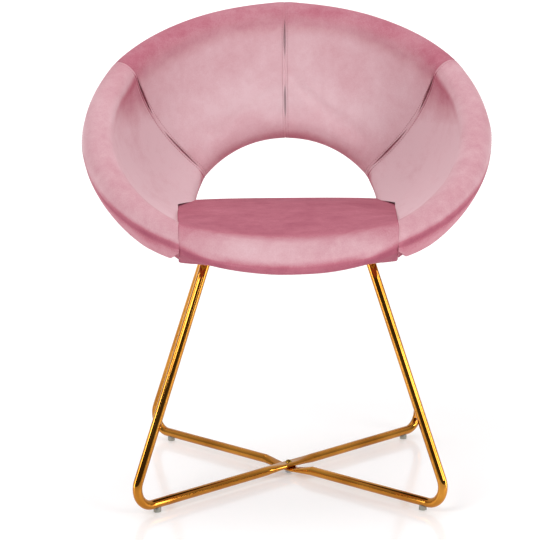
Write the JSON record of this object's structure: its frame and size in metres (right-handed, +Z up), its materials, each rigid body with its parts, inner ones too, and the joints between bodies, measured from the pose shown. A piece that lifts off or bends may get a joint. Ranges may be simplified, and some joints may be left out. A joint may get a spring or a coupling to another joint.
{
  "type": "scallop back armchair",
  "caption": "Padded velvet saucer armchair with an open window above the seat, on crossed bent-tube leg frames.",
  "frame": {"origin": "on the floor under the crossing of the leg frames, at the middle of the chair", "axes": "+Z up, the chair faces -Y, +X to the right seen from the front"},
  "size_m": [0.7, 0.5963, 0.8166],
  "materials": {
    "velvet": "short pile velvet, dusty pink",
    "foam": "moulded polyurethane foam",
    "gold_steel": "polished, gold plated",
    "dark_gold_steel": "polished, dark gold",
    "frame_steel": "black powder coat",
    "zinc_steel": "zinc plated",
    "plywood": "sanded birch plywood",
    "nonwoven": "spunbonded cloth",
    "glide_plastic": "clear moulded"
  },
  "bodies": {
    "root": {"back_frame": "frame_steel", "cover_back_right": "velvet", "cover_back_left": "velvet", "foam_back_right": "foam", "foam_back_left": "foam", "cover_wing_right": "velvet", "cover_wing_left": "velvet", "foam_wing_right": "foam", "foam_wing_left": "foam", "seat_cover": "velvet", "seat_foam": "foam", "seat_board": "plywood", "dust_cover": "nonwoven", "staples": "zinc_steel", "leg_frame_over": "gold_steel", "leg_frame_under": "gold_steel", "mount_plate_front_left": "gold_steel", "mount_plate_front_right": "gold_steel", "mount_plate_rear_left": "gold_steel", "mount_plate_rear_right": "gold_steel", "glide_front_left": "glide_plastic", "glide_front_right": "glide_plastic", "glide_rear_left": "glide_plastic", "glide_rear_right": "glide_plastic", "plate_bolts": "zinc_steel", "plate_washers": "zinc_steel", "tee_nuts": "zinc_steel", "frame_screws": "zinc_steel", "cross_bolt": "dark_gold_steel", "cross_washer": "zinc_steel", "cross_nut": "zinc_steel"}
  },
  "joints": []
}
